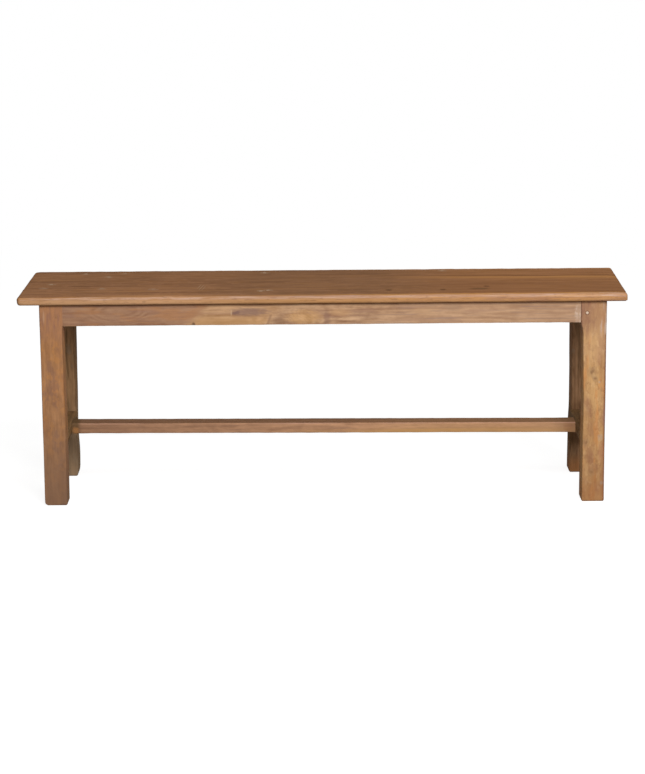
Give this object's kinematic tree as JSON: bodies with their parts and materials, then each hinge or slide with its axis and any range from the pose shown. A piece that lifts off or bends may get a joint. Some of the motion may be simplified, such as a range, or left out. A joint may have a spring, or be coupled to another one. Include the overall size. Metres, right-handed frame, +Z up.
{
  "type": "bench",
  "caption": "Long low wooden bench with a wide rounded plank seat on straight legs, narrow flush aprons and a flat lengthwise stretcher, in old reused wood.",
  "frame": {"origin": "on the floor, under the middle of the bench", "axes": "+X to the right along the length, +Y from the front to the rear, +Z up; the front faces -Y"},
  "size_m": [1.2998, 0.34, 0.457],
  "materials": {
    "seat_wood": "old brown hardwood, waxed and scratched",
    "leg_wood": "old golden hardwood, waxed, arrises worn grey",
    "rail_wood": "old tan hardwood, waxed",
    "peg_wood": "pale end grain, flush",
    "button_wood": "bare sawn hardwood",
    "filler": "pale wood filler, sanded flush",
    "screw_steel": "dull steel"
  },
  "bodies": {
    "root": {"seat_plank": "seat_wood", "seat_hole_plugs": "filler", "front_left_leg": "leg_wood", "front_right_leg": "leg_wood", "rear_left_leg": "leg_wood", "rear_right_leg": "leg_wood", "front_apron": "rail_wood", "rear_apron": "rail_wood", "left_end_apron": "rail_wood", "right_end_apron": "rail_wood", "left_end_stretcher": "rail_wood", "right_end_stretcher": "rail_wood", "centre_stretcher": "rail_wood", "front_apron_left_peg": "peg_wood", "left_end_apron_front_peg": "peg_wood", "left_end_stretcher_front_peg": "peg_wood", "front_apron_right_peg": "peg_wood", "right_end_apron_front_peg": "peg_wood", "right_end_stretcher_front_peg": "peg_wood", "rear_apron_left_peg": "peg_wood", "left_end_apron_rear_peg": "peg_wood", "left_end_stretcher_rear_peg": "peg_wood", "rear_apron_right_peg": "peg_wood", "right_end_apron_rear_peg": "peg_wood", "right_end_stretcher_rear_peg": "peg_wood", "centre_stretcher_left_peg": "peg_wood", "centre_stretcher_right_peg": "peg_wood", "seat_button_front_left": "button_wood", "seat_button_front_middle": "button_wood", "seat_button_front_right": "button_wood", "seat_button_rear_left": "button_wood", "seat_button_rear_middle": "button_wood", "seat_button_rear_right": "button_wood", "seat_button_left_end": "button_wood", "seat_button_right_end": "button_wood", "seat_screw_front_left": "screw_steel", "seat_screw_front_middle": "screw_steel", "seat_screw_front_right": "screw_steel", "seat_screw_rear_left": "screw_steel", "seat_screw_rear_middle": "screw_steel", "seat_screw_rear_right": "screw_steel", "seat_screw_left_end": "screw_steel", "seat_screw_right_end": "screw_steel"}
  },
  "joints": []
}
